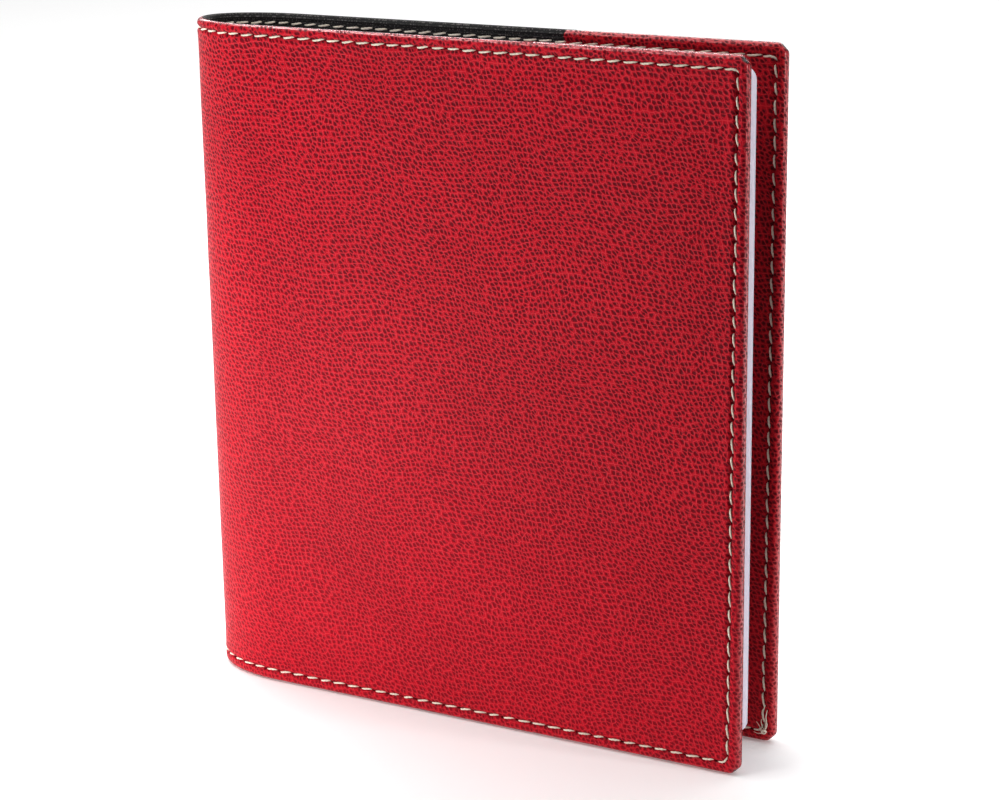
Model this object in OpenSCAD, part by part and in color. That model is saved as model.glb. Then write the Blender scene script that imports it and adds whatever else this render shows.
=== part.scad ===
// Leather notebook cover with a planner insert, standing upright and almost closed.
// X runs from the spine (-) to the fore-edge (+), Y from the front cover (-) to the back cover (+), Z is up.
// The origin is the middle of the footprint. Every piece is drawn from the spine's outermost line (x = 0),
// the front cover's outer face (y = 0) and the bottom edge (z = 0), then moved there by in_place().

/* [Overall size] */
// Height of the cover
cover_h = 170; // [140:1:240]
// Width of the closed cover, from the spine to the fore-edge
cover_w = 153; // [120:1:200]
// Thickness of the closed cover, from outer face to outer face
cover_t = 25; // [20:0.5:34]
// How far the rounded spine reaches before the covers turn flat
spine_reach = 22; // [17:0.5:30]
// Length of the 45 degree cut across the fore-edge corners
corner_cut = 2; // [1:0.25:5]

/* [Leather and layers] */
// Thickness of the leather
leather_t = 0.8; // [0.6:0.05:1.2]
// Width of the leather edge turned in under the lining
turn_in = 9; // [6:0.5:14]
// Thickness of the turned edge, which is pared thin
turn_in_t = 0.4; // [0.2:0.05:0.6]
// Thickness of the foam under the leather
padding_t = 0.3; // [0.2:0.05:0.8]
// Thickness of the stiffening board
board_t = 0.8; // [0.5:0.1:1.5]
// Clearance between the board or foam and the turned leather edge
board_clear = 0.2; // [0.1:0.05:0.6]
// Distance between the start of the flat cover and the board
board_setback = 2; // [1:0.5:6]
// Half the width of the spine's own stiffener
stiffener_half = 4.5; // [2:0.25:6]
// Thickness of the ribbed lining
lining_t = 0.25; // [0.15:0.05:0.5]
// Distance from the cover's edge to the lining's edge
lining_margin = 1; // [0.5:0.25:2]

/* [Pocket flaps] */
// Width of each pocket flap, from the fore-edge
flap_w = 56; // [30:1:90]
// Thickness of the flap's leather
flap_t = 0.6; // [0.4:0.05:1]
// Distance from the cover's edge to the flap's edge
flap_margin = 0.4; // [0.2:0.1:1]
// Width of the flap's turned edge, which closes three sides of the pocket
pocket_edge = 3.2; // [2.6:0.1:5]
// Depth of the pocket between the lining and the flap
pocket_t = 0.35; // [0.3:0.05:0.8]

/* [Stitching] */
// Distance from one stitch to the next
stitch_pitch = 4.13; // [3:0.01:6]
// Length of one stitch
stitch_l = 3; // [2:0.1:4]
// Width of the thread
thread_w = 0.5; // [0.3:0.05:0.8]
// Height of the thread over the bottom of its groove
thread_t = 0.3; // [0.2:0.05:0.45]
// Distance of the seam from the top edge
seam_top = 2.8; // [2:0.1:4]
// Distance of the seam from the bottom edge
seam_bottom = 3; // [2:0.1:4]
// Distance of the seam from the fore-edge
seam_fore = 2.3; // [1.8:0.1:4]
// Width of the groove that the seam pulls into the leather
groove_w = 0.9; // [0.8:0.05:1.4]
// Depth of that groove
groove_d = 0.35; // [0.25:0.05:0.5]

/* [Planner insert] */
// Height of the insert
insert_h = 160; // [120:1:220]
// Height of the insert's lower edge over the cover's lower edge
insert_lift = 5.9; // [4:0.1:12]
// Thickness of the insert's card cover
card_t = 0.25; // [0.15:0.05:0.3]
// Distance from the cover's fore-edge to the card's fore-edge
card_inset = 4.2; // [4:0.1:10]
// Thickness of one of the two stacks of leaves
stack_t = 4.3; // [2:0.1:6]
// Distance from the cover's fore-edge to the leaves' fore-edge
leaf_recess = 3; // [1:0.25:10]
// Radius of the leaves' fore-edge corners
leaf_corner_r = 3; // [1:0.25:8]
// Clearance between the front flap and the first leaf
leaf_clear = 0.3; // [0.2:0.05:1]
// Clearance between the two stacks of leaves
stack_clear = 0.1; // [0.05:0.05:0.5]
// Distance from the leaves' turning line to their bound edge
leaf_bound_gap = 3.4; // [2.5:0.1:4.5]
// Radius of the glued bead that binds the leaves
bead_r = 1; // [0.6:0.1:1.3]
// Thickness of the hinge strip between the card cover and the bead
strip_t = 0.4; // [0.2:0.05:0.8]

/* [Hinges] */
// Gap between the spine and a cover at the hinge line
hinge_gap = 0.3; // [0.2:0.05:0.8]

/* [Hidden] */

red = [0.74, 0.11, 0.16];
dark_red = [0.62, 0.08, 0.12];
black = [0.07, 0.07, 0.08];
cream = [0.93, 0.89, 0.78];
paper = [0.88, 0.87, 0.91];
greyboard = [0.55, 0.52, 0.48];
foam = [0.86, 0.84, 0.8];

eps = 0.01;
// Reach of a cutting shape past what it cuts
over = 1;
// Facet angle of the rounded spine, in degrees
arc_step = 3.75;
half_t = cover_t / 2;

// Depths of the layers, measured inwards from the outer face
padding_d = leather_t + padding_t;
board_d = padding_d + board_t;
turned_d = board_d + turn_in_t;
lining_d = turned_d + lining_t;
pocket_d = lining_d + pocket_t;
wall_t = pocket_d + flap_t;
card_d = lining_d + (pocket_t - card_t) / 2;

// The insert
insert_top = insert_lift + insert_h;
front_stack_y = wall_t + leaf_clear;
back_stack_y = front_stack_y + stack_t + stack_clear;
leaf_axis_y = back_stack_y - stack_clear / 2;
// The leaves start where the card cover, curving round the spine, no longer rises over the flap
hollow_phi = asin((half_t - wall_t) / (half_t - card_d - card_t));
hollow_x = spine_reach - (spine_reach - card_d - card_t) * cos(hollow_phi);
leaf_x0 = hollow_x + leaf_clear;
leaf_axis_x = leaf_x0 - leaf_bound_gap;
leaf_x1 = cover_w - leaf_recess;

// Stitches keep this distance from a hinge line
stitch_hinge_clear = stitch_l / 2 + 0.35;
// Stitches on the rounded spine are shorter, and pressed flat by this share of the thread
arc_stitch_l = stitch_l * 0.75;
arc_thread_t = thread_t * 0.6;
// An inner stitch on the spine's hollow side stands off by this much, because it is straight
hollow_lift = 0.2;

// The closed cover is a U in plan: half an ellipse at the spine and two straight sides.
// phi is 0 at the middle of the spine, 90 where the front turns flat and -90 where the back does.
function u_point(phi, d) = [
    spine_reach - (spine_reach - d) * cos(phi),
    half_t - (half_t - d) * sin(phi)
];
function u_line(d, x_end) = concat(
    [[x_end, d]],
    [for (phi = [90 : -arc_step : -90]) u_point(phi, d)],
    [[x_end, cover_t - d]]
);
function reversed(list) = [for (i = [len(list) - 1 : -1 : 0]) list[i]];
// Arc length for each degree of phi
function arc_rate(phi, d) =
    norm([(spine_reach - d) * sin(phi), (half_t - d) * cos(phi)]) * PI / 180;
// Direction of the U's line at phi, as an angle from X
function u_angle(phi, d) = atan2(-(half_t - d) * cos(phi), (spine_reach - d) * sin(phi));

// The hinge line lies on the outer surface, as far from the front face as from the spine's
// outermost line, so that the opened cover lies in one plane with the spine.
function hinge_excess(phi) = u_point(phi, 0)[0] - u_point(phi, 0)[1];
function hinge_search(low, high, n) =
    let (mid = (low + high) / 2)
    n == 0 ? mid
    : hinge_excess(mid) > 0 ? hinge_search(low, mid, n - 1)
    : hinge_search(mid, high, n - 1);
hinge_phi = hinge_search(5, 85, 40);
hinge = u_point(hinge_phi, 0);
hinge_along = [cos(u_angle(hinge_phi, 0)), sin(u_angle(hinge_phi, 0))];
hinge_in = [-hinge_along[1], hinge_along[0]];
cut_in = wall_t + 1.5;
cut_out = 3;

// Moves a piece from its drawing corner to the part's own origin
module in_place() {
    translate([-cover_w / 2, -half_t, 0])
        children();
}

// Turns a front piece into the back piece
module to_back() {
    translate([0, cover_t, 0])
        mirror([0, 1, 0])
            children();
}

// The U-shaped layer from depth d0 to depth d1, over the whole height
module layer(d0, d1, x_end = cover_w) {
    linear_extrude(cover_h)
        polygon(concat(u_line(d0, x_end), reversed(u_line(d1, x_end))));
}

// Everything inside the cover's outline, seen from the front, with its edges moved in by inset.
// The corner cut gets shorter inwards, until the corner is square.
module outline(inset) {
    cut = corner_cut - inset * (2 - sqrt(2));
    x1 = cover_w - inset;
    z0 = inset;
    z1 = cover_h - inset;
    low_corner = cut > eps ? [[x1 - cut, z0], [x1, z0 + cut]] : [[x1, z0]];
    high_corner = cut > eps ? [[x1, z1 - cut], [x1 - cut, z1]] : [[x1, z1]];
    translate([0, cover_t + over, 0])
        rotate([90, 0, 0])
            linear_extrude(cover_t + 2 * over)
                polygon(concat([[-over, z0]], low_corner, high_corner, [[-over, z1]]));
}

// Everything between two distances from the spine and two heights
module slab(x0, x1, z0, z1) {
    translate([x0, -over, z0])
        cube([x1 - x0, cover_t + 2 * over, z1 - z0]);
}

// The front cover's side of the front hinge line
module front_zone() {
    outer = hinge + hinge_along * hinge_gap / 2 - hinge_in * cut_out;
    inner = hinge + hinge_along * hinge_gap / 2 + hinge_in * cut_in;
    translate([0, 0, -over])
        linear_extrude(cover_h + 2 * over)
            polygon([
                [outer[0], -over], outer, inner,
                [cover_w + over, inner[1]], [cover_w + over, -over]
            ]);
}

// The spine's side of both hinge lines
module spine_zone() {
    outer = hinge - hinge_along * hinge_gap / 2 - hinge_in * cut_out;
    inner = hinge - hinge_along * hinge_gap / 2 + hinge_in * cut_in;
    translate([0, 0, -over])
        linear_extrude(cover_h + 2 * over)
            polygon([
                [-over, outer[1]], outer, inner,
                [inner[0], cover_t - inner[1]], [outer[0], cover_t - outer[1]],
                [-over, cover_t - outer[1]]
            ]);
}

// The leather of the whole cover: skin, turned edges and the groove under the outer seam
module leather_shell() {
    difference() {
        intersection() {
            layer(0, turned_d);
            outline(0);
        }
        intersection() {
            layer(leather_t, board_d);
            outline(leather_t);
        }
        intersection() {
            layer(board_d - eps, turned_d + eps);
            outline(turn_in);
        }
        seam_groove();
    }
}

module seam_groove() {
    seam_x = cover_w - seam_fore;
    for (z = [seam_bottom, cover_h - seam_top])
        intersection() {
            layer(-over, groove_d, seam_x + groove_w / 2);
            slab(-over, cover_w, z - groove_w / 2, z + groove_w / 2);
        }
    intersection() {
        layer(-over, groove_d);
        slab(
            seam_x - groove_w / 2, seam_x + groove_w / 2,
            seam_bottom, cover_h - seam_top
        );
    }
}

// One stitch along X, whose outermost face for the front cover is on y = 0 of its own frame
module stitch(length, thickness) {
    translate([-length / 2, 0, -thread_w / 2])
        cube([length, thickness, thread_w]);
}

// Angles along the spine's curve of the stitches that follow the flat row, one pitch apart
flat_run = cover_w - seam_fore - spine_reach;
flat_count = floor(flat_run / stitch_pitch);
first_arc = (flat_count + 0.5) * stitch_pitch - flat_run;
arc_phis = [
    for (phi = 90 - first_arc / arc_rate(90, 0); phi > -90; phi = phi - stitch_pitch / arc_rate(phi, 0))
        phi
];

// A row of stitches on the flat cover, at height z. y_of gives the depth for a place along X.
module flat_row(z, outer) {
    for (i = [0 : flat_count - 1]) {
        x = cover_w - seam_fore - (i + 0.5) * stitch_pitch;
        y = outer ? groove_d - thread_t : x > cover_w - flap_w ? wall_t : lining_d;
        translate([x, y, z])
            stitch(stitch_l, thread_t);
    }
}

// Stitches on the rounded spine, at height z, between two angles
module arc_row(z, outer, phi_low, phi_high) {
    d = outer ? groove_d - arc_thread_t : lining_d + hollow_lift;
    length = outer ? arc_stitch_l : arc_stitch_l * (half_t - d) / half_t;
    for (phi = arc_phis) {
        clear = stitch_hinge_clear / arc_rate(phi, 0);
        if (phi > phi_low + clear && phi < phi_high - clear) {
            p = u_point(phi, d);
            translate([p[0], p[1], z])
                rotate([0, 0, u_angle(phi, d)])
                    stitch(length, arc_thread_t);
        }
    }
}

// The column of stitches along the fore-edge
module fore_column(outer) {
    run = cover_h - seam_top - seam_bottom;
    count = floor(run / stitch_pitch);
    spacing = run / count;
    y = outer ? groove_d - thread_t : wall_t;
    for (i = [0 : count - 1])
        translate([cover_w - seam_fore, y, seam_bottom + (i + 0.5) * spacing])
            rotate([0, 90, 0])
                stitch(stitch_l, thread_t);
}

module cover_stitches(outer) {
    for (z = [seam_bottom, cover_h - seam_top]) {
        flat_row(z, outer);
        arc_row(z, outer, hinge_phi, 91);
    }
    fore_column(outer);
}

module spine_stitches(outer) {
    for (z = [seam_bottom, cover_h - seam_top])
        arc_row(z, outer, -hinge_phi, hinge_phi);
}

module cover_leather() {
    intersection() {
        leather_shell();
        front_zone();
    }
}

// The foam fills the whole depth where the cover has no board
module cover_padding() {
    inset = leather_t + board_clear;
    intersection() {
        union() {
            layer(leather_t, padding_d);
            intersection() {
                layer(leather_t, board_d);
                slab(-over, spine_reach + board_setback - board_clear, 0, cover_h);
            }
        }
        outline(inset);
        front_zone();
    }
}

module cover_board() {
    intersection() {
        layer(padding_d, board_d);
        outline(leather_t + board_clear);
        slab(spine_reach + board_setback, cover_w, 0, cover_h);
        front_zone();
    }
}

module cover_lining() {
    intersection() {
        layer(turned_d, lining_d);
        outline(lining_margin);
        front_zone();
    }
}

// A sheet of leather with a thin turned edge under it on three sides
module pocket_flap() {
    intersection() {
        difference() {
            intersection() {
                layer(lining_d, wall_t);
                outline(flap_margin);
            }
            intersection() {
                layer(lining_d - eps, pocket_d);
                outline(flap_margin + pocket_edge);
            }
        }
        slab(cover_w - flap_w, cover_w, 0, cover_h);
        front_zone();
    }
}

module card_layer() {
    intersection() {
        layer(card_d, card_d + card_t);
        slab(-over, cover_w - card_inset, insert_lift, insert_top);
    }
}

module cover_card() {
    intersection() {
        card_layer();
        front_zone();
    }
}

// One stack of leaves, whose first face is at y0
module leaf_stack(y0) {
    r = leaf_corner_r;
    translate([0, y0 + stack_t, 0])
        rotate([90, 0, 0])
            linear_extrude(stack_t)
                polygon(concat(
                    [[leaf_x0, insert_lift]],
                    [for (a = [-90 : 15 : 0])
                        [leaf_x1 - r + r * cos(a), insert_lift + r + r * sin(a)]],
                    [for (a = [0 : 15 : 90])
                        [leaf_x1 - r + r * cos(a), insert_top - r + r * sin(a)]],
                    [[leaf_x0, insert_top]]
                ));
}

module spine_leather() {
    color(red)
        in_place()
            intersection() {
                leather_shell();
                spine_zone();
            }
}

module spine_padding() {
    color(foam)
        in_place()
            intersection() {
                layer(leather_t, padding_d);
                outline(leather_t + board_clear);
                spine_zone();
            }
}

module spine_stiffener() {
    color(greyboard)
        in_place()
            intersection() {
                layer(padding_d, board_d);
                outline(leather_t + board_clear);
                spine_zone();
                translate([-over, half_t - stiffener_half, 0])
                    cube([spine_reach, 2 * stiffener_half, cover_h]);
            }
}

module spine_lining() {
    color(black)
        in_place()
            intersection() {
                layer(turned_d, lining_d);
                outline(lining_margin);
                spine_zone();
            }
}

module spine_outer_stitching() {
    color(cream)
        in_place()
            spine_stitches(true);
}

module spine_inner_stitching() {
    color(cream)
        in_place()
            spine_stitches(false);
}

module insert_spine_card() {
    color(paper)
        in_place()
            intersection() {
                card_layer();
                spine_zone();
            }
}

// A strip of cloth from the card cover to the glued bead that the leaves turn on
module insert_binding() {
    strip_phi = asin((half_t - leaf_axis_y) / (half_t - card_d));
    strip_x0 = u_point(strip_phi, card_d)[0];
    color(paper)
        in_place()
            union() {
                difference() {
                    translate([strip_x0, leaf_axis_y - strip_t / 2, insert_lift])
                        cube([leaf_axis_x - strip_x0, strip_t, insert_h]);
                    layer(0, card_d + card_t);
                }
                translate([leaf_axis_x, leaf_axis_y, insert_lift])
                    cylinder(h = insert_h, r = bead_r, $fn = 8);
            }
}

module front_leather() {
    color(red)
        in_place()
            cover_leather();
}

module front_padding() {
    color(foam)
        in_place()
            cover_padding();
}

module front_board() {
    color(greyboard)
        in_place()
            cover_board();
}

module front_lining() {
    color(black)
        in_place()
            cover_lining();
}

module front_pocket_flap() {
    color(dark_red)
        in_place()
            pocket_flap();
}

module front_outer_stitching() {
    color(cream)
        in_place()
            cover_stitches(true);
}

module front_inner_stitching() {
    color(cream)
        in_place()
            cover_stitches(false);
}

module insert_front_card() {
    color(paper)
        in_place()
            cover_card();
}

module front_leaves() {
    color(paper)
        in_place()
            leaf_stack(front_stack_y);
}

module back_leather() {
    color(red)
        in_place()
            to_back()
                cover_leather();
}

module back_padding() {
    color(foam)
        in_place()
            to_back()
                cover_padding();
}

module back_board() {
    color(greyboard)
        in_place()
            to_back()
                cover_board();
}

module back_lining() {
    color(black)
        in_place()
            to_back()
                cover_lining();
}

module back_pocket_flap() {
    color(dark_red)
        in_place()
            to_back()
                pocket_flap();
}

module back_outer_stitching() {
    color(cream)
        in_place()
            to_back()
                cover_stitches(true);
}

module back_inner_stitching() {
    color(cream)
        in_place()
            to_back()
                cover_stitches(false);
}

module insert_back_card() {
    color(paper)
        in_place()
            to_back()
                cover_card();
}

module back_leaves() {
    color(paper)
        in_place()
            leaf_stack(back_stack_y);
}

spine_leather();
spine_padding();
spine_stiffener();
spine_lining();
spine_outer_stitching();
spine_inner_stitching();
insert_spine_card();
insert_binding();
front_leather();
front_padding();
front_board();
front_lining();
front_pocket_flap();
front_outer_stitching();
front_inner_stitching();
insert_front_card();
front_leaves();
back_leather();
back_padding();
back_board();
back_lining();
back_pocket_flap();
back_outer_stitching();
back_inner_stitching();
insert_back_card();
back_leaves();
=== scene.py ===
import math

import bpy
import numpy as np
from mathutils import Matrix, Vector


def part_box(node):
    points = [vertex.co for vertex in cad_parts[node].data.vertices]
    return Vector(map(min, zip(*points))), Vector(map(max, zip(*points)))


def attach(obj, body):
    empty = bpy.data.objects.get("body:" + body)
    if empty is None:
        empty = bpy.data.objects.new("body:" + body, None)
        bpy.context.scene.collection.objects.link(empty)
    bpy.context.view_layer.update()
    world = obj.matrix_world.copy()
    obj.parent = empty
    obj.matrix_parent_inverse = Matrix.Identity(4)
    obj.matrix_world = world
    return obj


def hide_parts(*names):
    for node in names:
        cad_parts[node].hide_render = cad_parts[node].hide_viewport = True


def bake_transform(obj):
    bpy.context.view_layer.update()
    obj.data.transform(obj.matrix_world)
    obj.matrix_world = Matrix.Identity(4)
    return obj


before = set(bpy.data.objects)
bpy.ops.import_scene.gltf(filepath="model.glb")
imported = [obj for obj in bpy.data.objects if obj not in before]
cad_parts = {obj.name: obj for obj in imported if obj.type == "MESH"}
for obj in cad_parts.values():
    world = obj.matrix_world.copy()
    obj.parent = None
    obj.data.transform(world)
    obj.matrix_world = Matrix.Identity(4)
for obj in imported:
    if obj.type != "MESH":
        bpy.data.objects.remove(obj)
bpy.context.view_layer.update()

MM = 0.001

# ---------------------------------------------------------------- camera
YAW, PITCH, ROLL = math.radians(-29.08), math.radians(15.96), math.radians(-0.81)
forward = Vector(
    (math.sin(YAW) * math.cos(PITCH), math.cos(YAW) * math.cos(PITCH), -math.sin(PITCH))
)
level = Vector((math.cos(YAW), -math.sin(YAW), 0))
upward = level.cross(forward)
camera_right = level * math.cos(ROLL) + upward * math.sin(ROLL)
camera_up = upward * math.cos(ROLL) - level * math.sin(ROLL)
camera_data = bpy.data.cameras.new("camera")
camera_data.lens = 90.1
camera_data.sensor_width = 36
camera = bpy.data.objects.new("camera", camera_data)
camera.matrix_world = Matrix.Translation((0.29225, -0.51305, 0.24835)) @ Matrix(
    (camera_right, camera_up, -forward)
).transposed().to_4x4()
bpy.context.collection.objects.link(camera)
bpy.context.scene.camera = camera

# ---------------------------------------------------------------- sizes, from the frame
cover_low, cover_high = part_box("front_leather")
X_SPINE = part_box("spine_leather")[0].x
HALF = -cover_low.y
HEIGHT = cover_high.z
REACH = 22 * MM  # how far the rounded spine reaches, before the covers turn flat
CORNER = 2 * MM  # the 45 degree cut across the fore-edge corners
ROLL_W = 1.15 * MM  # how far the rolled edge reaches in from the outline
SEAM_SPINE, SEAM_TOP, SEAM_FORE, SEAM_FOOT = 2.2 * MM, 3.1 * MM, 2.3 * MM, 2.9 * MM
PITCH_STITCH = 4.13 * MM  # from stitch to stitch
STITCH = 3.6 * MM  # a stitch's length
THREAD = 0.24 * MM  # the thread's radius
SLANT = -8  # degrees that each stitch leans across the seam
PLIES, TWIST = 3, 1.155  # plies of the thread, and turns that they make in one stitch
LINED_T = 2.5 * MM  # thickness of the leather's rolled edge where the lining covers it
FLAP_T = 3.2 * MM  # and where the pocket flap covers it

PHI = np.linspace(0, math.pi / 2, 2001)
ARC = np.concatenate(
    [
        [0],
        np.cumsum(
            np.hypot(np.diff(-REACH * np.cos(PHI)), np.diff(HALF * np.sin(PHI)))
        ),
    ]
)
SPAN = ARC[-1] + cover_high.x - X_SPINE - REACH  # from the spine's middle line to the fore-edge
FLAP_S = SPAN - (cover_high.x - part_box("front_pocket_flap")[0].x)
FRONT, BACK = -1, 1
SIDES = {"front": FRONT, "back": BACK}


def place(side, s, z, d):
    """Points at length s round the cover from the spine's middle line, at height z and at depth d
    under the outer face."""
    s, z, d = np.broadcast_arrays(s, z, d)
    phi = np.interp(s, ARC, PHI)
    x = X_SPINE + REACH - (REACH - d) * np.cos(phi) + np.maximum(s - ARC[-1], 0)
    return np.stack([x, side * (HALF - d) * np.sin(phi), z], axis=-1)


# ---------------------------------------------------------------- meshes
def mesh_object(name, points, faces, uv, flip=False, marks=None, smooth=True):
    """A mesh with UVs in metres and one stored value a vertex for each of marks.
    flip turns its faces over."""
    points = np.asarray(points, float).reshape(-1, 3)
    if flip:
        faces = [f[::-1] for f in faces]
    mesh = bpy.data.meshes.new(name)
    mesh.from_pydata(points.tolist(), [], faces)
    corner = np.empty(len(mesh.loops), np.int32)
    mesh.loops.foreach_get("vertex_index", corner)
    layer = mesh.uv_layers.new(name="UVMap")
    layer.data.foreach_set(
        "uv", np.asarray(uv, np.float32).reshape(-1, 2)[corner].ravel()
    )
    for mark, values in (marks or {}).items():
        attribute = mesh.attributes.new(mark, "FLOAT", "POINT")
        attribute.data.foreach_set("value", np.asarray(values, np.float32).ravel())
    mesh.polygons.foreach_set("use_smooth", [smooth] * len(mesh.polygons))
    mesh.update()
    obj = bpy.data.objects.new(name, mesh)
    bpy.context.collection.objects.link(obj)
    return obj


def grid_faces(rows, columns, first=0, close=False):
    """Quads of a grid of rows by columns of vertices, with the columns closed in a ring if asked."""
    r, c = np.meshgrid(
        np.arange(rows - 1), np.arange(columns if close else columns - 1), indexing="ij"
    )
    n = (c + 1) % columns
    quads = np.stack(
        [
            r * columns + c,
            r * columns + n,
            (r + 1) * columns + n,
            (r + 1) * columns + c,
        ],
        axis=-1,
    )
    return (quads.reshape(-1, 4) + first).tolist()


def slab(name, side, s, z, outer, inner):
    """A closed layer of the cover, between two depths, over a grid of s and z."""
    s, z = np.meshgrid(s, z, indexing="ij")
    rows, columns = s.shape
    points = np.concatenate(
        [place(side, s, z, outer).reshape(-1, 3), place(side, s, z, inner).reshape(-1, 3)]
    )
    under = rows * columns
    faces = grid_faces(rows, columns)
    faces += [[i + under for i in f[::-1]] for f in grid_faces(rows, columns)]
    index = np.arange(under).reshape(rows, columns)
    rim = np.concatenate(
        [index[:, 0], index[-1, 1:], index[-2::-1, -1], index[0, -2:0:-1]]
    )
    for a, b in zip(rim, np.roll(rim, -1)):
        faces.append([int(b), int(a), int(a) + under, int(b) + under])
    uv = np.stack([side * -s.ravel(), z.ravel()], axis=-1)
    return mesh_object(
        name, points, faces, np.concatenate([uv, uv]), side == BACK, smooth=False
    )


def smoothstep(x, low, high):
    t = np.clip((x - low) / (high - low), 0, 1)
    return t * t * (3 - 2 * t)


def ripple(s, z, seed):
    """Soft unevenness from -1 to 1, the same at every run."""
    total = np.zeros(np.broadcast(s, z).shape)
    for k in range(6):
        turn = seed * 1.7 + k * 2.4
        wave = (math.cos(turn) * s + math.sin(turn) * z) / ((26 - 3 * k) * MM)
        total += np.sin(wave * 2 * math.pi + seed + 1.3 * k) / 6
    return total


# ---------------------------------------------------------------- the outline of a cover
E_IN = 5.1 * MM  # the edge band ends here and the coarse middle starts
CUT_RATE = CORNER / E_IN
FINE = 0.46 * MM
COARSE = 4  # fine steps in one coarse cell
CORNER_STEPS = 8
OUTLINE_PASSES, SEAM_PASSES = 2, 60  # smoothing passes along the outline and along the seam's inset
SOFT_W = 3 * MM  # the smoothing grows to its full strength over this width of the band


def seam_at(s):
    """How far the seam lies under the top edge: it drifts inwards on the way to the fore-edge."""
    return SEAM_SPINE + (SEAM_TOP - SEAM_SPINE) * s / SPAN


class Outline:
    """A cover's outline from s = start, along the top, round the fore-edge and back along the bottom.
    Every point moves in a straight line as the outline is inset: a ring at inset e is base + e * slope.
    Near the edge the ring follows a smoothed copy of that line, so that the corners are a little worn."""

    def __init__(self, start):
        self.start = start
        self.n_side = COARSE * round((SPAN - start) / FINE / COARSE)
        self.n_fore = COARSE * round(HEIGHT / FINE / COARSE)
        base = self.ring_points(0)
        slope = (self.ring_points(1 * MM) - base) / MM
        soft_base, soft_slope = base.copy(), slope.copy()
        for _ in range(OUTLINE_PASSES):
            for p in (soft_base, soft_slope):
                p[1:-1] = p[1:-1] / 2 + (p[:-2] + p[2:]) / 4
        self.base, self.slope = base, slope
        self.soft_base, self.soft_slope = soft_base, soft_slope
        half = self.n_side + CORNER_STEPS // 2  # points from an end to the middle of a corner
        fall = (HEIGHT - base[:, 1]) / HEIGHT
        seam = SEAM_FORE + (SEAM_FOOT - SEAM_FORE) * fall
        seam[:half] = seam_at(base[:half, 0])
        seam[-half:] = SEAM_FOOT
        for _ in range(SEAM_PASSES):
            seam[1:-1] = seam[1:-1] / 2 + (seam[:-2] + seam[2:]) / 4
        self.seam = seam
        line = self.at(seam)
        self.arc = np.concatenate(
            [[0], np.cumsum(np.linalg.norm(np.diff(line, axis=0), axis=1))]
        )
        self.corners = self.n_side, self.n_side + CORNER_STEPS + self.n_fore
        self.chamfer = np.zeros(len(base))
        for first in self.corners:
            bump = np.sin(np.linspace(0, math.pi, CORNER_STEPS + 1))
            self.chamfer[first : first + CORNER_STEPS + 1] = bump

    def ring_points(self, e):
        cut = CORNER - CUT_RATE * e
        side, top = SPAN - e, HEIGHT - e
        t = np.linspace(0, 1, self.n_side + 1)
        along = self.start + t * (side - cut - self.start)
        k = np.linspace(0, 1, CORNER_STEPS + 1)[1:-1]
        f = np.linspace(0, 1, self.n_fore + 1)
        return np.concatenate(
            [
                np.stack([along, np.full_like(along, top)], axis=-1),
                np.stack([side - cut + k * cut, top - k * cut], axis=-1),
                np.stack(
                    [np.full_like(f, side), top - cut + f * (e + cut - top + cut)], axis=-1
                ),
                np.stack([side - k * cut, e + cut - k * cut], axis=-1),
                np.stack([along[::-1], np.full_like(along, e)], axis=-1),
            ]
        )

    def at(self, e):
        """The ring at inset e, which may differ from point to point."""
        e = np.broadcast_to(np.asarray(e, float), len(self.base))[:, None]
        return self.blended(slice(None), e)

    def blended(self, i, e):
        """The ring points i at inset e, between the sharp outline and the smoothed one."""
        hard = self.base[i] + e * self.slope[i]
        soft = self.soft_base[i] + e * self.soft_slope[i]
        return hard + (soft - hard) * np.clip((E_IN - e) / SOFT_W, 0, 1)

    def beside_seam(self, arc, across):
        """Flat places at a length along the seam and a distance inwards from it, and the ring point
        before each."""
        at = np.interp(arc, self.arc, np.arange(len(self.base)))
        low = np.clip(at.astype(int), 0, len(self.base) - 2)
        part = (at - low)[..., None]
        seam = self.seam[low] + (self.seam[low + 1] - self.seam[low]) * part[..., 0]
        e = (seam + across)[..., None]
        return (1 - part) * self.blended(low, e) + part * self.blended(low + 1, e), low

    def count(self):
        return len(self.base)


MARKS = ("hole", "valley", "raw", "polish")  # values stored on the leather for its material: where shade is painted at the needle holes and in the seam's groove, the raw cut, and the polish


def middle_faces(outline, first, rows, columns):
    """Faces of the coarse middle, whose own vertices start at first. Its edge is the band's first ring,
    which has more points, so the faces there have more corners."""
    n = outline.count()
    fore_start = outline.corners[0] + CORNER_STEPS

    def vertex(i, j):
        if j == 0:
            return i * COARSE
        if j == rows:
            return n - 1 - i * COARSE
        if i == columns:
            return fore_start + j * COARSE
        return first + i * (rows - 1) + (j - 1)

    faces = []
    for i in range(columns):
        for j in range(rows):
            face = [vertex(i, j)]
            if j == 0:
                face += [i * COARSE + k for k in range(1, COARSE)]
            face.append(vertex(i + 1, j))
            if i == columns - 1:
                face += [fore_start + j * COARSE + k for k in range(1, COARSE)]
            face.append(vertex(i + 1, j + 1))
            if j == rows - 1:
                face += [n - 1 - (i + 1) * COARSE + k for k in range(1, COARSE)]
            face.append(vertex(i, j + 1))
            faces.append(face[::-1])
    return faces


def joined_at_corners(outline, faces):
    """The faces with one vertex for each corner of the first ring, whose points fall together there,
    and the old numbers of the vertices that are left."""
    joined = {}
    for corner in outline.corners:
        for k in range(1, CORNER_STEPS + 1):
            joined[corner + k] = corner
    joined_faces = []
    for face in faces:
        kept = []
        for v in (joined.get(v, v) for v in face):
            if v not in kept:
                kept.append(v)
        if len(kept) > 2:
            joined_faces.append(kept)
    used = sorted({v for face in joined_faces for v in face})
    new = {v: i for i, v in enumerate(used)}
    return [[new[v] for v in face] for face in joined_faces], used


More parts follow.
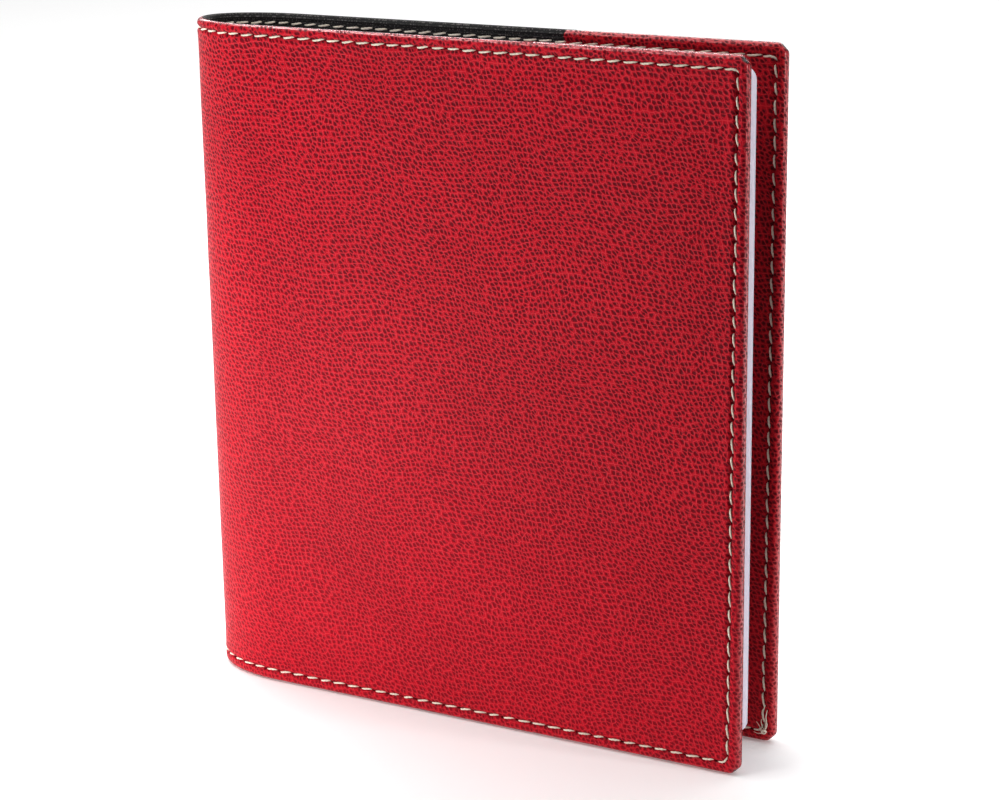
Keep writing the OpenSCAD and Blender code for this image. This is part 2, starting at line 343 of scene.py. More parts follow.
def shell(name, side, outline, rings, middle, inner=False):
    """A leather piece: a band of rings that follows the outline, given from the inside out as
    (inset, depth, mark values), and a coarse middle, whose depth is a function of s and z.
    The band's first ring is the edge of the middle. inner is True for a piece that faces the pages."""
    n = outline.count()
    flat, depth, unrolled = [], [], []
    length, before = np.full(n, E_IN), None
    stored = {m: [] for m in MARKS}
    for inset, d, values in rings:
        flat.append(outline.at(inset))
        depth.append(np.broadcast_to(d, n))
        now = np.broadcast_to(inset, n), depth[-1]
        if before is not None:
            length = length - np.hypot(now[0] - before[0], now[1] - before[1])
        before = now
        unrolled.append(outline.at(length))
        for m in MARKS:
            stored[m].append(np.broadcast_to(values.get(m, 0), n))
    flat[0] = unrolled[0] = outline.base + E_IN * outline.slope
    columns, rows = outline.n_side // COARSE, outline.n_fore // COARSE
    s_lines = np.linspace(outline.start, SPAN - E_IN, columns + 1)
    z_lines = np.linspace(HEIGHT - E_IN, E_IN, rows + 1)
    s, z = np.meshgrid(s_lines[:-1], z_lines[1:-1], indexing="ij")
    flat.append(np.stack([s.ravel(), z.ravel()], axis=-1))
    unrolled.append(flat[-1])
    depth.append(middle(s.ravel(), z.ravel()))
    for m in MARKS:
        stored[m].append(np.zeros(s.size))
    faces = []
    for a in range(0, (len(rings) - 1) * n, n):
        for i in range(a, a + n - 1):
            faces.append([i, i + 1, i + n + 1, i + n])
    faces += middle_faces(outline, len(rings) * n, rows, columns)
    faces, used = joined_at_corners(outline, faces)
    flat, depth, unrolled = (np.concatenate(v)[used] for v in (flat, depth, unrolled))
    stored = {m: np.concatenate(v)[used] for m, v in stored.items()}
    points = place(side, flat[:, 0], flat[:, 1], depth)
    uv = unrolled * [side if inner else -side, 1]
    return mesh_object(name, points, faces, uv, (side == BACK) != inner, stored)


# ---------------------------------------------------------------- seams
def stitch_count(outline):
    return round(outline.arc[-1] / PITCH_STITCH)


def needle(outline, inset):
    """How close each point of a ring is to a needle hole, from 0 to 1."""
    pitch = outline.arc[-1] / stitch_count(outline)
    along = (outline.arc + pitch / 2) % pitch - pitch / 2
    across = inset - outline.seam + 0.12 * MM
    return np.exp(-((along / (0.42 * MM)) ** 2) - (across / (0.26 * MM)) ** 2)


def seam_relief(outline, inset, deep, puff):
    """How far the seam pulls the leather down at a ring, and how far it stands up beside it."""
    across = inset - outline.seam
    valley = deep * np.exp(-((across / (0.5 * MM)) ** 2))
    beside = puff * np.exp(-(((np.abs(across) - 1.1 * MM) / (0.55 * MM)) ** 2))
    return valley - beside + 0.3 * MM * needle(outline, inset)


STEPS_IN = np.array([1.5, 1.15, 0.85, 0.62, 0.44, 0.3, 0.18, 0.06, -0.06, -0.18]) * MM
STEPS_OUT = np.array([-0.3, -0.44, -0.62, -0.85]) * MM


def seam_rings(outline, surface, deep, puff, sense):
    """Rings from the band's inner edge over the seam to where the edge starts to roll.
    sense is 1 on the outer face, where pulling down adds to the depth, and -1 on an inner face."""
    rings = [(E_IN, surface, {})]
    for step in np.concatenate([STEPS_IN, STEPS_OUT]):
        inset = outline.seam + step
        relief = seam_relief(outline, inset, deep, puff)
        # hole marks the needle holes, where shade is painted near-black
        hole = smoothstep(needle(outline, inset), 0.3, 0.75)
        # valley marks the seam's groove, where painted shade darkens the leather
        valley = np.exp(-((step / (0.45 * MM)) ** 2))
        rings.append((inset, surface + sense * relief, {"hole": hole, "valley": valley}))
    return rings


def tube_faces(count, rows, columns, start=0):
    """Faces of count tubes, each of rows rings of columns vertices, closed at both ends."""
    faces = []
    for first in range(start, start + count * rows * columns, rows * columns):
        faces += grid_faces(rows, columns, first, close=True)
        faces.append([first + i for i in range(columns)][::-1])
        faces.append([first + (rows - 1) * columns + i for i in range(columns)])
    return faces


def unit(v):
    return v / np.linalg.norm(v, axis=-1, keepdims=True)


def stitches(name, side, outline, surface, sense, bulge):
    """A row of sewn stitches on the seam, each a short twisted cord that dips into the leather at its
    ends. surface is the depth of the seam's floor, and sense is as in seam_rings."""
    count = stitch_count(outline)
    pitch = outline.arc[-1] / count
    rng = np.random.default_rng(7 if sense > 0 else 11)
    around, along = 12, 17
    v = np.linspace(0, 1, along)
    length = STITCH * (1 + 0.05 * rng.standard_normal((count, 1)))
    tilt = np.radians(SLANT + 2.0 * rng.standard_normal((count, 1)))
    shift = 0.05 * MM * rng.standard_normal((count, 1))
    arc = (np.arange(count)[:, None] + 0.5) * pitch + (v - 0.5) * length
    across = np.tan(tilt) * (v - 0.5) * length + shift + bulge * (4 * v * (1 - v) - 0.5)
    flat, low = outline.beside_seam(arc, across)
    rise = 1 - np.abs(2 * v - 1) ** 3.2
    floor_depth = np.broadcast_to(surface, outline.count())[low]
    d = floor_depth + sense * (0.25 * MM - 0.44 * MM * rise)
    centre = place(side, flat[..., 0], flat[..., 1], d)
    outward = unit(place(side, flat[..., 0], flat[..., 1], d - sense * 0.1 * MM) - centre)
    sideways = unit(np.cross(unit(np.gradient(centre, axis=1)), outward))
    angle = np.linspace(0, 2 * math.pi, around, endpoint=False)
    thick = THREAD * (0.62 + 0.42 * np.sin(math.pi * v) ** 0.7)
    lobes = 1 + 0.12 * np.cos(PLIES * (angle[None, :] - TWIST * 2 * math.pi * v[:, None]))
    radius = (thick[:, None] * lobes)[None]
    points = (
        centre[:, :, None]
        + sideways[:, :, None] * (radius * np.cos(angle))[..., None]
        + outward[:, :, None] * (radius * np.sin(angle) * 0.82)[..., None]
    )
    uv = np.stack(np.broadcast_arrays(arc[:, :, None], (angle * THREAD)[None, None, :]), axis=-1)
    # the ring turns the other way round the thread on a mirrored or an inner face
    return mesh_object(name, points, tube_faces(count, along, around), uv, side * sense > 0)


# ---------------------------------------------------------------- materials
class Nodes:
    """A material with one shader, and short names for adding nodes to it."""

    def __init__(self, name):
        self.material = bpy.data.materials.new(name)
        self.material.use_nodes = True
        self.tree = self.material.node_tree
        self.tree.nodes.clear()
        self.output = self.tree.nodes.new("ShaderNodeOutputMaterial")
        self.shader = self.tree.nodes.new("ShaderNodeBsdfPrincipled")
        self.link(self.shader.outputs[0], self.output.inputs["Surface"])

    def link(self, a, b):
        self.tree.links.new(a, b)

    def set(self, socket, value):
        if isinstance(value, bpy.types.NodeSocket):
            self.link(value, socket)
        else:
            socket.default_value = value

    def node(self, kind, inputs=None, **settings):
        node = self.tree.nodes.new(kind)
        for key, value in settings.items():
            setattr(node, key, value)
        for key, value in (inputs or {}).items():
            self.set(node.inputs[key], value)
        return node

    def maths(self, operation, a, b=0.0, c=0.0):
        node = self.node("ShaderNodeMath", operation=operation)
        for i, value in enumerate((a, b, c)):
            self.set(node.inputs[i], value)
        return node.outputs[0]

    def vector(self, operation, a, b=(0, 0, 0)):
        node = self.node("ShaderNodeVectorMath", operation=operation)
        self.set(node.inputs[0], a)
        if operation == "SCALE":
            self.set(node.inputs["Scale"], b)
        else:
            self.set(node.inputs[1], b)
        return node.outputs[0]

    def noise(self, at, scale, detail=2.0, roughness=0.5):
        node = self.node(
            "ShaderNodeTexNoise",
            {"Vector": at, "Scale": scale, "Detail": detail, "Roughness": roughness},
        )
        return node.outputs["Fac"], node.outputs["Color"]

    def cells(self, at, scale, feature="F1", spread=0.8):
        node = self.node(
            "ShaderNodeTexVoronoi",
            {"Vector": at, "Scale": scale, "Randomness": spread},
            feature=feature,
            voronoi_dimensions="2D",
        )
        return node

    def ramp(self, value, low, high, to_low=0.0, to_high=1.0):
        node = self.node(
            "ShaderNodeMapRange",
            {
                "Value": value,
                "From Min": low,
                "From Max": high,
                "To Min": to_low,
                "To Max": to_high,
            },
            interpolation_type="SMOOTHSTEP",
        )
        return node.outputs["Result"]

    def mix(self, factor, a, b, blend="MIX"):
        node = self.node("ShaderNodeMix", data_type="RGBA", blend_type=blend)
        self.set(node.inputs[0], factor)
        self.set(node.inputs[6], a)
        self.set(node.inputs[7], b)
        return node.outputs[2]

    def bump(self, height, distance, strength=1.0, under=None):
        node = self.node(
            "ShaderNodeBump", {"Height": height, "Distance": distance, "Strength": strength}
        )
        if under is not None:
            self.link(under, node.inputs["Normal"])
        return node.outputs[0]

    def mark(self, name):
        return self.node(
            "ShaderNodeAttribute", attribute_name=name, attribute_type="GEOMETRY"
        ).outputs["Fac"]

    def in_mm(self):
        """The UVs, which are in metres, in millimetres."""
        return self.vector("SCALE", self.node("ShaderNodeUVMap").outputs[0], 1000.0)


def srgb(r, g, b):
    """A colour as measured on a screen, from 0 to 255, as the linear one that shaders use."""
    return tuple(
        (c / 255 / 12.92 if c < 11 else ((c / 255 + 0.055) / 1.055) ** 2.4)
        for c in (r, g, b)
    ) + (1.0,)


def darker(colour, share):
    return tuple(c * share for c in colour[:3]) + (1.0,)


def leather(name, light, dark, rough=0.36):
    """Pressed-grain leather: a network of raised skin round slanted pits of many sizes, in slow curves.
    Lengths are in millimetres and scales in cells a millimetre."""
    n = Nodes(name)
    at = n.in_mm()

    def shifted(place_at, scale, detail, amount):
        offset = n.vector("SUBTRACT", n.noise(at, scale, detail)[1], (0.5, 0.5, 0.5))
        return n.vector("ADD", place_at, n.vector("SCALE", offset, amount))

    # the rows of pits wander slowly, shake a little from pit to pit, and lean
    bent = shifted(shifted(at, 0.03, 1.0, 7.0), 0.45, 0.0, 0.45)
    split = n.node("ShaderNodeSeparateXYZ", {"Vector": bent})
    leaning = n.maths("MULTIPLY_ADD", split.outputs[1], 0.42, split.outputs[0])
    grain_at = n.node("ShaderNodeCombineXYZ", {"X": leaning, "Y": split.outputs[1]}).outputs[0]
    # one pit in every cell, of its own size, with a crest of skin along the cell's border
    cell = n.cells(grain_at, 0.80, "F1", 0.60)
    border = n.cells(grain_at, 0.80, "DISTANCE_TO_EDGE", 0.60).outputs["Distance"]
    own = n.node("ShaderNodeSeparateColor", {"Color": cell.outputs["Color"]}).outputs[0]
    size = n.maths("MULTIPLY_ADD", own, 0.20, 0.30)
    uneven = n.maths("MULTIPLY", n.maths("SUBTRACT", n.noise(at, 1.7, 1.0)[0], 0.5), 1.1)
    shape = n.maths("ADD", n.maths("DIVIDE", cell.outputs["Distance"], size), uneven)
    pit = n.maths("MULTIPLY", n.ramp(shape, 0.5, 1.15, 1.0, 0.0), n.ramp(border, 0.03, 0.16))
    # and small pits between them
    tiny_cell = n.cells(grain_at, 1.7, "F1", 0.9)
    tiny_own = n.node("ShaderNodeSeparateColor", {"Color": tiny_cell.outputs["Color"]}).outputs[1]
    tiny = n.maths(
        "MULTIPLY",
        n.ramp(tiny_cell.outputs["Distance"], 0.05, 0.32, 1.0, 0.0),
        n.ramp(tiny_own, 0.4, 0.6),
    )
    ridge = n.ramp(border, 0.02, 0.10, 1.0, 0.0)
    wander = n.ramp(n.noise(at, 0.02, 3.0)[0], 0.35, 0.65)
    body = n.mix(wander, light, darker(light, 0.88))
    # the ridges' crests are painted brighter: a painted highlight where light catches the skin
    painted_ridge_highlight = (min(light[0] * 1.4, 1), light[1] * 3 + 0.012, light[2] * 2.5, 1.0)
    body = n.mix(n.maths("MULTIPLY", ridge, 0.75), body, painted_ridge_highlight)
    depth = n.maths("MAXIMUM", pit, n.maths("MULTIPLY", tiny, 0.8))
    # painted sheen: the pits are painted paler towards the spine and the foot, where light washes over
    # the grain
    from_sheen_corner = n.node("ShaderNodeSeparateXYZ", {"Vector": at})
    from_sheen_corner = n.maths("MULTIPLY_ADD", n.maths("ABSOLUTE", from_sheen_corner.outputs[0]), 0.5, from_sheen_corner.outputs[1])
    shade = n.ramp(from_sheen_corner, 20.0, 190.0, 0.60, 0.93)
    colour = n.mix(n.maths("MULTIPLY", depth, shade), body, dark)
    # painted shade in the seam's groove
    colour = n.mix(n.maths("MULTIPLY", n.mark("valley"), 0.4), colour, darker(dark, 0.5))
    # painted shade inside the needle holes, near-black
    colour = n.mix(n.mark("hole"), colour, (0.004, 0.002, 0.002, 1.0))
    colour = n.mix(n.mark("raw"), colour, (0.006, 0.005, 0.005, 1.0))
    n.set(n.shader.inputs["Base Color"], colour)
    # handling has polished the skin of the rolled edges
    polish = n.mark("polish")
    skin = n.maths("SUBTRACT", 1.0, depth)
    shine = n.maths("MULTIPLY", n.maths("MULTIPLY", polish, skin), 0.9)
    pitted = n.maths("MULTIPLY_ADD", depth, 0.12, rough)
    n.set(n.shader.inputs["Roughness"], n.maths("MULTIPLY_ADD", polish, -0.14, pitted))
    n.set(n.shader.inputs["Specular IOR Level"], 0.10)
    n.set(n.shader.inputs["Coat Weight"], shine)
    n.set(n.shader.inputs["Coat Roughness"], 0.24)
    height = n.maths("SUBTRACT", n.maths("MULTIPLY", ridge, 0.3), depth)
    grain = n.bump(height, 0.16 * MM, 0.9)
    fine = n.bump(n.noise(at, 5.0, 3.0)[0], 0.02 * MM, 0.5, grain)
    n.set(n.shader.inputs["Normal"], fine)
    return n.material


def ribbed(name):
    """Black cloth with ribs 1 mm apart, threads across them, and pale specks painted in rows as
    highlights on the weave.
    """
    n = Nodes(name)
    at = n.in_mm()
    split = n.node("ShaderNodeSeparateXYZ", {"Vector": at})
    x, y = split.outputs[0], split.outputs[1]
    thread = n.maths("SINE", n.maths("MULTIPLY", x, 2 * math.pi / 0.35))
    rib = n.maths("COSINE", n.maths("MULTIPLY", y, 2 * math.pi / 1.0))
    fuzz = n.noise(at, 6.0, 3.0)[0]
    shade = n.maths("MULTIPLY_ADD", fuzz, 0.6, n.maths("MULTIPLY_ADD", rib, 0.25, 0.3))
    ground = n.mix(n.ramp(shade, 0.1, 1.0), srgb(3, 3, 3), srgb(20, 18, 18))
    # pale specks in rows: painted highlights where light catches the weave
    row = n.maths("COSINE", n.maths("MULTIPLY", y, 2 * math.pi / 0.6))
    spot = n.ramp(n.noise(at, 2.2, 1.0)[0], 0.50, 0.62)
    painted_glint_speck = n.maths("MULTIPLY", spot, n.ramp(row, -0.4, 0.6))
    n.set(n.shader.inputs["Base Color"], n.mix(painted_glint_speck, ground, srgb(94, 90, 88)))
    n.set(n.shader.inputs["Roughness"], n.maths("MULTIPLY_ADD", fuzz, 0.2, 0.6))
    n.set(n.shader.inputs["Specular IOR Level"], 0.25)
    height = n.maths("MULTIPLY_ADD", thread, 0.4, n.maths("MULTIPLY_ADD", rib, 0.8, fuzz))
    n.set(n.shader.inputs["Normal"], n.bump(height, 0.08 * MM, 0.9))
    return n.material


def cord_material(name, light, dark):
    """Waxed cotton thread, with fibres that run slantwise round it."""
    n = Nodes(name)
    at = n.in_mm()
    turned = n.node(
        "ShaderNodeMapping", {"Vector": at, "Rotation": (0, 0, 0.9), "Scale": (2.0, 9.0, 1.0)}
    )
    fibre = n.noise(turned.outputs[0], 1.0, 3.0)[0]
    blotch = n.noise(at, 0.35, 2.0)[0]
    colour = n.mix(n.ramp(fibre, 0.35, 0.65), dark, light)
    colour = n.mix(n.ramp(blotch, 0.3, 0.75, 0.0, 0.25), colour, dark)
    n.set(n.shader.inputs["Base Color"], colour)
    n.set(n.shader.inputs["Roughness"], n.maths("MULTIPLY_ADD", fibre, 0.2, 0.62))
    n.set(n.shader.inputs["Sheen Weight"], 0.3)
    n.set(n.shader.inputs["Normal"], n.bump(fibre, 0.05 * MM, 0.8))
    return n.material


def plain(name, a, b, rough, scale, grain=0.02 * MM, stretch=(1.0, 1.0, 1.0)):
    """A dry material with a fine uneven tone: card, board, foam or paper."""
    n = Nodes(name)
    at = n.node("ShaderNodeMapping", {"Vector": n.in_mm(), "Scale": stretch}).outputs[0]
    tone = n.noise(at, scale, 4.0, 0.6)[0]
    n.set(n.shader.inputs["Base Color"], n.mix(n.ramp(tone, 0.3, 0.7), a, b))
    n.set(n.shader.inputs["Roughness"], n.maths("MULTIPLY_ADD", tone, 0.15, rough))
    n.set(n.shader.inputs["Specular IOR Level"], 0.3)
    n.set(n.shader.inputs["Normal"], n.bump(tone, grain, 0.7))
    return n.material


RED = leather("red_leather", srgb(192, 15, 35), srgb(90, 4, 20))
# the flaps' copy of the leather is painted a little darker, as painted shade on the cover's inner side,
# and is rougher
SHADED_FLAP_RED = leather("flap_leather", srgb(188, 12, 30), srgb(78, 2, 16), 0.46)
RIBBED = ribbed("black_ribbed_cloth")
CREAM = cord_material("cream_thread", srgb(253, 248, 234), srgb(222, 204, 178))
FOAM = plain("foam", srgb(120, 118, 112), srgb(150, 147, 140), 0.85, 3.0, 0.08 * MM)
BOARD = plain("greyboard", srgb(120, 116, 108), srgb(150, 146, 138), 0.8, 1.2, 0.03 * MM)
CARD = plain("card", srgb(226, 224, 218), srgb(240, 238, 234), 0.55, 1.5)
PAPER = plain("paper", srgb(234, 226, 241), srgb(247, 242, 253), 0.7, 0.9)
CLOTH = plain(
    "binding_cloth",
    srgb(196, 192, 182),
    srgb(224, 220, 210),
    0.75,
    2.5,
    0.06 * MM,
    (3.0, 1.0, 1.0),
)


def wear(obj, material):
    obj.data.materials.clear()
    obj.data.materials.append(material)


def bend(obj):
    """Applies obj's placement to its mesh."""
    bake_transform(obj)


# ---------------------------------------------------------------- the cover's layers
# depths under the outer face
SKIN_D = 0.06 * MM  # the leather's flat face
SEAM_D = 0.42 * MM  # how far the seam pulls it down
FOAM_D = 0.82 * MM, 1.08 * MM
CARD_D = 2.6 * MM, 2.85 * MM
LINING_D = 2.45 * MM
LINING_BAND = 0.25 * MM  # how much deeper the lining lies over the turned-in leather
FLAP_D = FLAP_T + 0.3 * MM

ROLL_OUTER = (0, 14, 28, 42, 56, 70, 84, 98, 112, 126, 140, 154, 168, 180)
ROLL_FLAP = (180, 166, 152, 138, 124, 112, 100)
ROLL_LINING = range(90, 180, 9)
CUT_CENTRE, CUT_HALF = 91, 50  # degrees round the roll where the corner's raw cut lies

outline = Outline(0.0)
flap_outline = Outline(FLAP_S)


def roll(width, thick, angle):
    """Inset and depth round a rolled edge, where 0 is on the outer face, 90 on the crest and 180 on
    the inner face."""
    a = math.radians(angle)
    return width * (1 - math.sin(a)), thick / 2 * (1 - math.cos(a))


def with_spine(side, node, spine_node):
    """The CAD nodes that a piece replaces. The front's piece also stands for the spine's."""
    return [node, spine_node] if side == FRONT else [node]


def cover_skin(side_name, side):
    """One cover's leather with its half of the spine, rolled over the edge and turned in."""
    edge_s = outline.at(0.0)[:, 0]
    thick = LINED_T + (FLAP_T - LINED_T) * smoothstep(edge_s, FLAP_S - 0.4 * MM, FLAP_S + 1.2 * MM)

    def face(s, z):
        return SKIN_D + 0.05 * MM * ripple(s, z, side + 3)

    rings = seam_rings(outline, SKIN_D, SEAM_D, 0.10 * MM, 1)
    rings[0] = (E_IN, face(*outline.at(E_IN).T), {})
    for angle in ROLL_OUTER:
        e, d = roll(ROLL_W, 1, angle)
        off_cut = abs(angle - CUT_CENTRE) / CUT_HALF
        marks = {
            "raw": smoothstep(outline.chamfer, off_cut, off_cut + 0.3),
            "polish": math.sin(math.radians(angle)),
        }
        rings.append((e, 0.03 * MM + d * (thick - 0.03 * MM), marks))
    # the turned-in leather, under the lining
    rings.append((ROLL_W + 0.5 * MM, thick - 0.05 * MM, {}))
    rings.append((2.6 * MM, thick - 0.45 * MM, {}))
    rings.append((4.9 * MM, thick - 0.5 * MM, {}))
    skin = shell(side_name + "_skin", side, outline, rings, face)
    wear(skin, RED)
    bend(skin)
    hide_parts(*with_spine(side, side_name + "_leather", "spine_leather"))


def outer_seam(side_name, side):
    thread = stitches(
        side_name + "_outer_thread", side, outline, SKIN_D + SEAM_D, 1, 0.10 * MM
    )
    wear(thread, CREAM)
    bend(thread)
    nodes = with_spine(side, side_name + "_outer_stitching", "spine_outer_stitching")
    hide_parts(*nodes)


def pocket_flap(side_name, side):
    """The flap that forms a pocket inside the cover, sewn down on three sides."""
    rings = seam_rings(flap_outline, FLAP_D, 0.34 * MM, 0.06 * MM, -1)
    for angle in ROLL_FLAP:
        e, d = roll(ROLL_W + 0.05 * MM, 1, angle)
        polish = math.sin(math.radians(angle))
        rings.append((e - 0.05 * MM, d * FLAP_D, {"polish": polish}))
    rings.append((0.25 * MM, FLAP_D / 2 + 0.1 * MM, {}))
    flap = shell(
        side_name + "_flap",
        side,
        flap_outline,
        rings,
        lambda s, z: np.full(s.shape, FLAP_D),
        inner=True,
    )
    wear(flap, SHADED_FLAP_RED)
    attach(flap, side_name + "_cover")
    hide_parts(side_name + "_pocket_flap")


def lining_half(s, insets, seam):
    """Inset and depth of the lining's grid from the crest of the rolled edge inwards. seam is the
    inset of its seam at every s."""
    wrap = np.array([roll(ROLL_W + 0.07 * MM, LINED_T + 0.2 * MM, a) for a in ROLL_LINING])
    rows = len(s)
    band = 1 - smoothstep(insets, 3.6 * MM, 4.6 * MM)
    ribs = 0.06 * MM * np.cos(2 * math.pi * insets / (1.0 * MM)) * (insets < 6.5 * MM)
    pulled = 0.22 * MM * np.exp(-(((insets[None] - seam[:, None]) / (0.55 * MM)) ** 2))
    d = LINING_D + LINING_BAND * band + ribs - pulled
    e = np.concatenate([wrap[:, 0] - 0.05 * MM, insets])
    d = np.concatenate([np.broadcast_to(wrap[:, 1], (rows, len(wrap))), d], axis=1)
    return np.broadcast_to(e, (rows, len(e))), d


def ribbed_lining(side_name, side):
    """The lining from the spine's middle line to under the flap, wrapped over the edge at both ends."""
    insets = np.concatenate([np.arange(1.2, 7.2, 0.125), [8.0, 9.0]]) * MM
    flap_mm = FLAP_S / MM
    s = np.concatenate([np.arange(0, 36, 1.2), np.arange(36, flap_mm + 2, 4), [flap_mm + 2.5]]) * MM
    e_top, d_top = lining_half(s, insets, seam_at(s))
    e_foot, d_foot = lining_half(s, insets, np.full(s.shape, SEAM_FOOT))
    z = np.concatenate([HEIGHT - e_top, e_foot[:, ::-1]], axis=1)
    d = np.concatenate([d_top, d_foot[:, ::-1]], axis=1)
    s = np.broadcast_to(s[:, None], z.shape)
    lining = mesh_object(
        side_name + "_ribbed_lining",
        place(side, s, z, d),
        grid_faces(*z.shape),
        np.stack([side * -s.ravel(), z.ravel()], axis=-1),
        side == FRONT,
    )
    wear(lining, RIBBED)
    bend(lining)
    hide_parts(*with_spine(side, side_name + "_lining", "spine_lining"))


def inner_seam(side_name, side):
    edge_s = outline.at(0.0)[:, 0]
    seam_floor = np.where(edge_s > FLAP_S, FLAP_D - 0.34 * MM, LINED_T)
    thread = stitches(side_name + "_inner_thread", side, outline, seam_floor, -1, 0.08 * MM)
    wear(thread, CREAM)
    bend(thread)
    nodes = with_spine(side, side_name + "_inner_stitching", "spine_inner_stitching")
    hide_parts(*nodes)


def bent_lines(end):
    """Lengths s for a layer that follows the spine closely and then runs flat to end."""
    return np.concatenate([np.linspace(0, 40 * MM, 40), [end]])


def foam_layer(side_name, side):
    z = np.linspace(E_IN, HEIGHT - E_IN, 12)
    foam = slab(side_name + "_foam", side, bent_lines(SPAN - E_IN), z, *FOAM_D)
    wear(foam, FOAM)
    bend(foam)
    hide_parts(*with_spine(side, side_name + "_padding", "spine_padding"))


def card_cover(side_name, side):
    low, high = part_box("insert_" + side_name + "_card")
    s = bent_lines(SPAN - (cover_high.x - high.x))
    card = slab(side_name + "_card_cover", side, s, np.linspace(low.z, high.z, 6), *CARD_D)
    wear(card, CARD)
    bend(card)
    nodes = with_spine(side, "insert_" + side_name + "_card", "insert_spine_card")
    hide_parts(*nodes)


for side_name, side in SIDES.items():
    cover_skin(side_name, side)
    outer_seam(side_name, side)
    pocket_flap(side_name, side)
    ribbed_lining(side_name, side)
    inner_seam(side_name, side)
    foam_layer(side_name, side)
    card_cover(side_name, side)
    wear(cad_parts[side_name + "_board"], BOARD)

wear(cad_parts["spine_stiffener"], BOARD)


# ---------------------------------------------------------------- thread ends
# the back cover's inner seam was tied off at its bottom corner
def smooth_curve(path, t):
    """Points of a smooth curve through path, at t from 0 to its last point's number."""
    low = np.clip(t.astype(int), 0, len(path) - 2)
    part = (t - low)[:, None]
    before, after = path[np.maximum(low - 1, 0)], path[np.minimum(low + 2, len(path) - 1)]
    a, b = path[low], path[low + 1]
    square = part**2 * (before - 2.5 * a + 2 * b - after / 2)
    cube = part**3 * (after - before + 3 * a - 3 * b) / 2
    return a + part * (b - before) / 2 + square + cube


def strand(path, thick):
    """A thin tapering tube through points given in mm from the seam's bottom corner, as
    (away from the spine, up, off the face)."""
    path = np.asarray(path, float)
    t = np.linspace(0, len(path) - 1, 9 * (len(path) - 1) + 1)
    s, z, off = smooth_curve(path, t).T * MM
    centre = place(BACK, SPAN - SEAM_FORE + s, SEAM_FOOT + z, FLAP_T + 0.36 * MM + off)
    tangent = unit(np.gradient(centre, axis=0))
    across = unit(np.cross(tangent, (0.3, -0.9, 0.3)))
    other = np.cross(tangent, across)
    angle = np.linspace(0, 2 * math.pi, 8, endpoint=False)[:, None]
    radius = thick * MM * (1 - 0.55 * (t / t[-1]) ** 2)
    ring = np.cos(angle)[None] * across[:, None] + np.sin(angle)[None] * other[:, None]
    return centre[:, None] + radius[:, None, None] * ring


# two long ends of the thread, three loose plies and the knot, each with its radius in mm
TAILS = (
    (((-1.2, 0.1, 0.1), (0, 0.3, 0.3), (0.3, 2.2, 0.3), (-0.4, 4.6, 0.35), (0.2, 7.0, 0.5)), 0.17),
    (((-0.9, -0.1, 0.1), (0.1, 0.5, 0.35), (0.7, 1.9, 0.4), (0.4, 3.8, 0.3), (0.8, 5.9, 0.5)), 0.15),
    (((0.2, 0.1, 0.2), (-0.7, 0.7, 0.5), (-1.3, 1.6, 0.5), (-1.9, 2.5, 0.7)), 0.10),
    (((0.3, 0.2, 0.3), (-0.6, -0.4, 0.5), (-1.7, -0.6, 0.5), (-2.6, -0.3, 0.6)), 0.10),
    (((0.1, 0.4, 0.3), (-0.4, 1.4, 0.5), (-0.7, 2.6, 0.6), (-0.5, 3.4, 0.8)), 0.09),
    (
        (
            (0.5, 0.0, 0.2),
            (0.2, 0.5, 0.7),
            (-0.4, 0.4, 0.7),
            (-0.4, -0.2, 0.6),
            (0.2, -0.4, 0.5),
            (0.5, 0.2, 0.4),
        ),
        0.22,
    ),
)
points, faces, total = [], [], 0
for path, thick in TAILS:
    tube = strand(path, thick)
    points.append(tube.reshape(-1, 3))
    faces += tube_faces(1, *tube.shape[:2], total)
    total += len(points[-1])
points = np.concatenate(points)
tails = mesh_object("back_thread_tails", points, faces, points[:, [0, 2]])
wear(tails, CREAM)
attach(tails, "back_cover")


# ---------------------------------------------------------------- leaves
LEAVES = 30  # in each stack
LEAF_CORNER = 3 * MM


def leaf_outline(width, height, radius):
    """A leaf's outline from its bound edge, with two rounded corners at the fore-edge."""
    a = np.linspace(0, math.pi / 2, 7)
    across, up = radius * np.sin(a), radius * np.cos(a)
    top = np.stack([width - radius + across, height - radius + up], -1)
    foot = np.stack([width - radius + up, radius - across], -1)
    return np.concatenate([[[0, height]], top, foot, [[0, 0]]])


def leaf_stack(side_name, side):
    """Separate thin leaves, whose fore-edges differ a little, as trimmed paper's do."""
    low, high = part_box(side_name + "_leaves")
    rng = np.random.default_rng(5 + side)
    pitch = (high.y - low.y) / LEAVES
    half = 0.42 * pitch
    outer = leaf_outline(high.x - low.x, high.z - low.z, LEAF_CORNER) + [low.x, low.z]
    n = len(outer)
    points, faces, uv = [], [], []
    for k in range(LEAVES):
        leaf = outer.copy()
        leaf[1:-1, 0] -= 0.12 * MM * rng.random()
        y = low.y + (k + 0.5) * pitch
        for face_y in (y - half, y + half):
            points.append(np.stack([leaf[:, 0], np.full(n, face_y), leaf[:, 1]], -1))
            uv.append(leaf + [0.2 * k, 0])
        first = 2 * k * n
        faces.append([first + i for i in range(n)][::-1])
        faces.append([first + n + i for i in range(n)])
        for i in range(n):
            j = (i + 1) % n
            faces.append([first + i, first + j, first + n + j, first + n + i])
    points, uv = np.concatenate(points), np.concatenate(uv)
    leaves = mesh_object(side_name + "_pages", points, faces, uv, smooth=False)
    wear(leaves, PAPER)
    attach(leaves, side_name + "_leaf_stack")
    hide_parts(side_name + "_leaves")


for side_name, side in SIDES.items():
    leaf_stack(side_name, side)

wear(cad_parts["insert_binding"], CLOTH)


# ---------------------------------------------------------------- floor and light
def matte(name, tone, glow=0.0):
    n = Nodes(name)
    n.set(n.shader.inputs["Base Color"], (tone, tone, tone, 1))
    n.set(n.shader.inputs["Roughness"], 0.9)
    n.set(n.shader.inputs["Specular IOR Level"], 0.1)
    n.set(n.shader.inputs["Emission Color"], (1, 1, 1, 1))
    n.set(n.shader.inputs["Emission Strength"], glow)
    return n.material


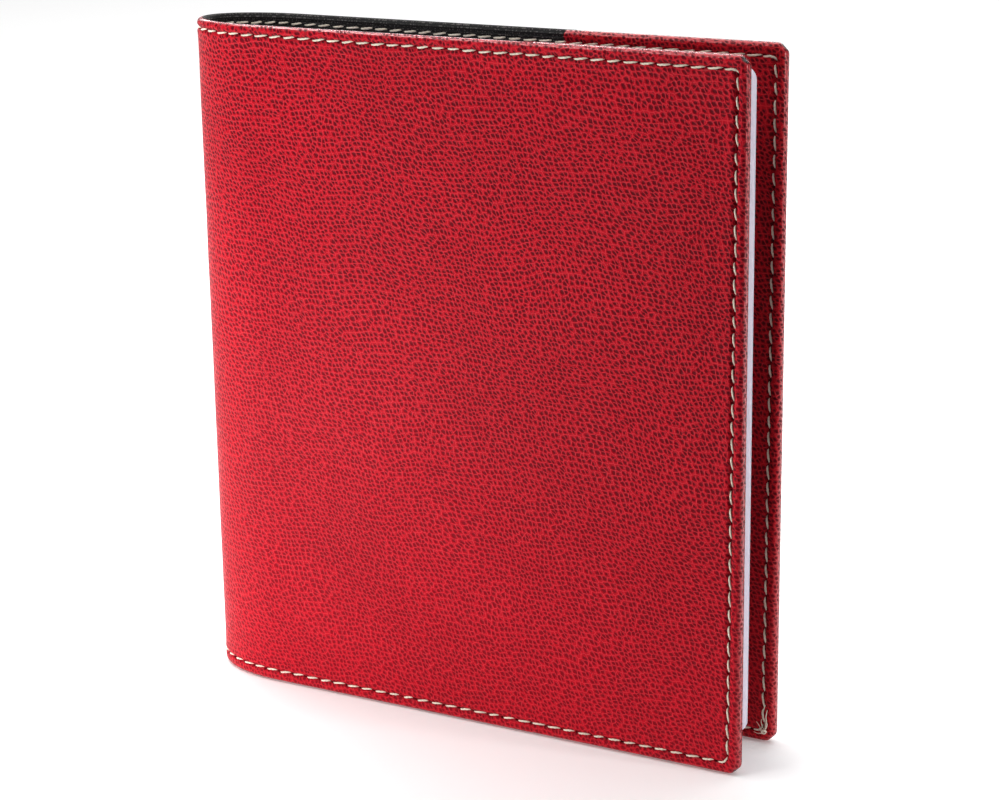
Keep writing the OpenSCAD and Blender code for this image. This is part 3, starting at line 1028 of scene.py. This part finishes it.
def stage_card(name, corners, material):
    mesh = bpy.data.meshes.new(name)
    mesh.from_pydata(corners, [], [(0, 1, 2, 3)])
    mesh.materials.append(material)
    card = bpy.data.objects.new(name, mesh)
    bpy.context.collection.objects.link(card)
    return card


floor = stage_card(
    "floor", [(-4, -4, 0), (4, -4, 0), (4, 8, 0), (-4, 8, 0)], matte("pale_floor", 0.97, 0.15)
)
floor.location.z = -0.2 * MM

# a standing black card, which no camera sees, keeps the floor's light off the right of the book
flag = stage_card(
    "flag",
    [(0.05, -0.13, 0.0), (0.33, 0.01, 0.0), (0.33, 0.01, 0.18), (0.05, -0.13, 0.18)],
    matte("black_card", 0.02),
)
flag.visible_camera = False

world = bpy.data.worlds.new("studio")
bpy.context.scene.world = world
world.use_nodes = True
world.node_tree.nodes["Background"].inputs[0].default_value = (1, 1, 1, 1)
world.node_tree.nodes["Background"].inputs[1].default_value = 0.10


def softbox(name, at, to, size, power):
    """A rectangular light at a place, turned towards another. Its size is width and height."""
    light = bpy.data.lights.new(name, "AREA")
    light.shape = "RECTANGLE"
    light.size, light.size_y = size
    light.energy = power
    lamp = bpy.data.objects.new(name, light)
    lamp.matrix_world = Matrix.Translation(at) @ (
        Vector(to) - Vector(at)
    ).to_track_quat("-Z", "Y").to_matrix().to_4x4()
    bpy.context.collection.objects.link(lamp)
    return lamp


key = softbox("key", (-0.27, -0.27, 0.05), (-0.03, 0, 0.05), (0.20, 0.10), 0.64)
key.visible_glossy = False
softbox("low_kicker", (-0.16, -0.14, 0.02), (0.0, 0.0, 0.03), (0.12, 0.03), 0.09)
softbox("front_top", (-0.35, -0.75, 0.95), (0, -0.05, 0.05), (0.5, 0.35), 0.6)
softbox("side", (0.85, 0.07, 0.28), (0.07, 0.0, 0.09), (0.10, 0.50), 3.0)
softbox("overhead", (-0.3, 1.1, 1.6), (-0.3, 1.1, 0.0), (2.8, 2.6), 38)
softbox("edge_strip", (-0.42, -0.15, 0.86), (0.0, 0.0, 0.17), (1.0, 0.08), 5.6)
softbox("rim", (-0.40, 0.75, 0.48), (0.0, 0.0, 0.17), (1.2, 0.12), 4.0)
bpy.context.scene.view_settings.view_transform = "Standard"
